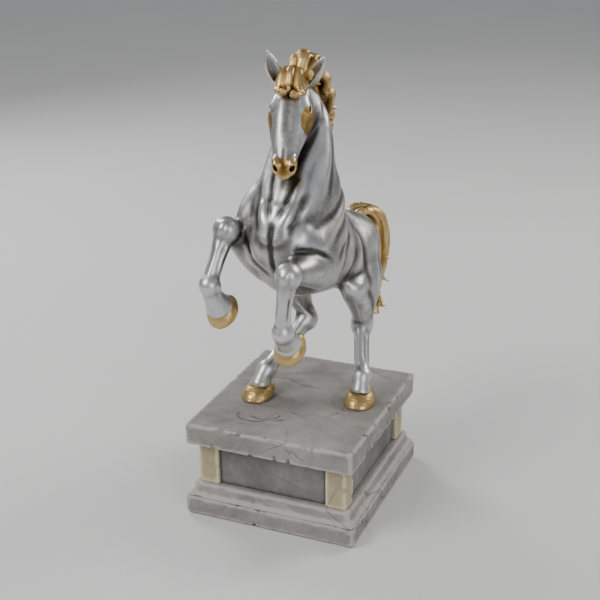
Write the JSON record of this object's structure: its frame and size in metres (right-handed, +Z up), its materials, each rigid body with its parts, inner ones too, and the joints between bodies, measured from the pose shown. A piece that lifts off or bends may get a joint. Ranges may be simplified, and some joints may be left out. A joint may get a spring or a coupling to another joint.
{
  "type": "rearing horse statuette on a plinth",
  "caption": "Rearing horse statuette in silvered metal with gilded mane, tail, hooves and muzzle, standing on its hind legs on a rectangular stone plinth.",
  "frame": {"origin": "centre of the plinth's underside, where the statuette rests", "axes": "+Z up, -Y the way the horse faces, +X the horse's left"},
  "size_m": [0.154, 0.2353, 0.3908],
  "materials": {
    "horse_metal": "silvered cast bronze, satin, darkened in the recesses and worn bright on the high spots",
    "gilding": "antique gilding, satin, brown in the recesses",
    "plinth_stone": "weathered warm grey stone, matt, with paler worn edges",
    "post_stone": "pale beige stone, matt, stained at the edges",
    "panel_stone": "dark grey stone, matt",
    "eye_enamel": "black enamel, glossy",
    "fixings": "plain turned brass",
    "felt": "dark green felt"
  },
  "bodies": {
    "root": {"torso": "horse_metal", "neck": "horse_metal", "head": "horse_metal", "left_ear": "horse_metal", "right_ear": "horse_metal", "right_foreleg": "horse_metal", "left_foreleg": "horse_metal", "left_hind_leg": "horse_metal", "right_hind_leg": "horse_metal", "mane": "gilding", "tail": "gilding", "forelock": "gilding", "left_hind_hoof": "gilding", "right_hind_hoof": "gilding", "left_fore_hoof": "gilding", "right_fore_hoof": "gilding", "left_eye": "eye_enamel", "right_eye": "eye_enamel", "cap": "plinth_stone", "moulding": "plinth_stone", "slab": "plinth_stone", "post_front_left": "post_stone", "post_front_right": "post_stone", "post_back_left": "post_stone", "post_back_right": "post_stone", "panel_front": "panel_stone", "panel_back": "panel_stone", "panel_left": "panel_stone", "panel_right": "panel_stone", "neck_dowels": "fixings", "leg_dowels": "fixings", "head_dowel": "fixings", "tail_dowel": "fixings", "mane_pins": "fixings", "ear_pins": "fixings", "forelock_pin": "fixings", "fore_hoof_dowels": "fixings", "hind_studs": "fixings", "stud_washers": "fixings", "stud_nuts": "fixings", "tie_rods": "fixings", "tie_rod_washers": "fixings", "tie_rod_nuts": "fixings", "access_plugs": "fixings", "felt_pad": "felt"}
  },
  "joints": []
}
